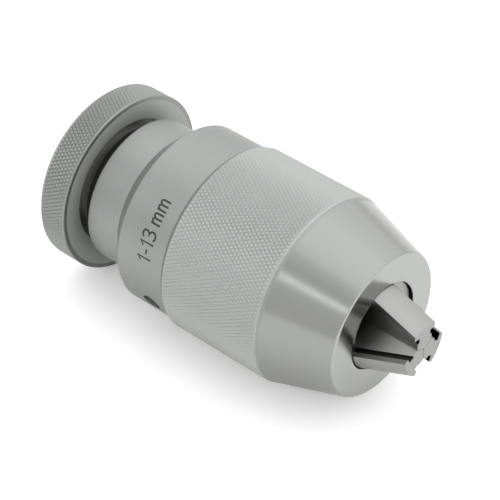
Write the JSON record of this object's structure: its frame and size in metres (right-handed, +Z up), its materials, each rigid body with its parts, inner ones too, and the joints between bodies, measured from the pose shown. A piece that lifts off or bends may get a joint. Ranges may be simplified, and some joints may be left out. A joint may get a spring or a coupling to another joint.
{
  "type": "drill chuck",
  "caption": "Keyless drill chuck: knurled holding ring, turning sleeve with a diamond-knurled grip and nose cone, three sliding jaws and a taper socket at the rear.",
  "frame": {"origin": "centre of the rear face, at the mouth of the taper socket, on the chuck's axis", "axes": "+X along the chuck's axis towards the jaws; +Z up, with the chuck's axis horizontal and jaw 1 uppermost"},
  "size_m": [0.1033, 0.05, 0.05],
  "materials": {
    "satin_chrome": "satin chromium plate over hardened steel",
    "ground_steel": "hardened and ground steel",
    "dark_steel": "oiled turned steel",
    "bronze": "sintered bronze",
    "brass": "pressed brass",
    "rubber": "black nitrile rubber"
  },
  "bodies": {
    "body": {"chuck_body": "ground_steel", "rear_ring": "satin_chrome", "ring_pins": "dark_steel", "socket_disc": "brass", "hub_seal": "rubber", "front_race": "ground_steel"},
    "ball_set": {"ball_cage": "brass", "bearing_balls": "ground_steel"},
    "sleeve": {"rear_sleeve": "satin_chrome", "hub_bush": "bronze", "rear_race": "ground_steel", "disc_spring": "dark_steel", "lock_ring": "dark_steel", "hood": "satin_chrome", "jaw_guide": "ground_steel", "guide_keys": "dark_steel", "guide_ring": "dark_steel"},
    "screw": {"feed_screw": "dark_steel"},
    "jaw_1": {"jaw_1": "ground_steel"},
    "jaw_2": {"jaw_2": "ground_steel"},
    "jaw_3": {"jaw_3": "ground_steel"}
  },
  "joints": [
    {"name": "sleeve_turn", "type": "hinge", "parent": "body", "child": "sleeve", "pos_m": [0, 0, 0], "axis": [1, 0, 0], "range_deg": [0, 1607.2]},
    {"name": "ball_roll", "type": "hinge", "parent": "body", "child": "ball_set", "pos_m": [0.032, 0, 0], "axis": [1, 0, 0], "range_deg": [0, 803.8]},
    {"name": "screw_feed", "type": "slide", "parent": "sleeve", "child": "screw", "axis": [-1, 0, 0], "range_m": [0, 0.01786]},
    {"name": "jaw_1_slide", "type": "slide", "parent": "sleeve", "child": "jaw_1", "axis": [-0.9397, 0, 0.342], "range_m": [0, 0.01901]},
    {"name": "jaw_2_slide", "type": "slide", "parent": "sleeve", "child": "jaw_2", "axis": [-0.9397, -0.2962, -0.171], "range_m": [0, 0.01901]},
    {"name": "jaw_3_slide", "type": "slide", "parent": "sleeve", "child": "jaw_3", "axis": [-0.9397, 0.2962, -0.171], "range_m": [0, 0.01901]}
  ],
  "couplings": [
    {"joint": "ball_roll", "follows": "sleeve_turn", "ratio": 0.5},
    {"joint": "screw_feed", "follows": "sleeve_turn", "m_per_rad": 0.00063662},
    {"joint": "jaw_1_slide", "follows": "sleeve_turn", "m_per_rad": 0.00067748},
    {"joint": "jaw_2_slide", "follows": "sleeve_turn", "m_per_rad": 0.00067748},
    {"joint": "jaw_3_slide", "follows": "sleeve_turn", "m_per_rad": 0.00067748}
  ]
}
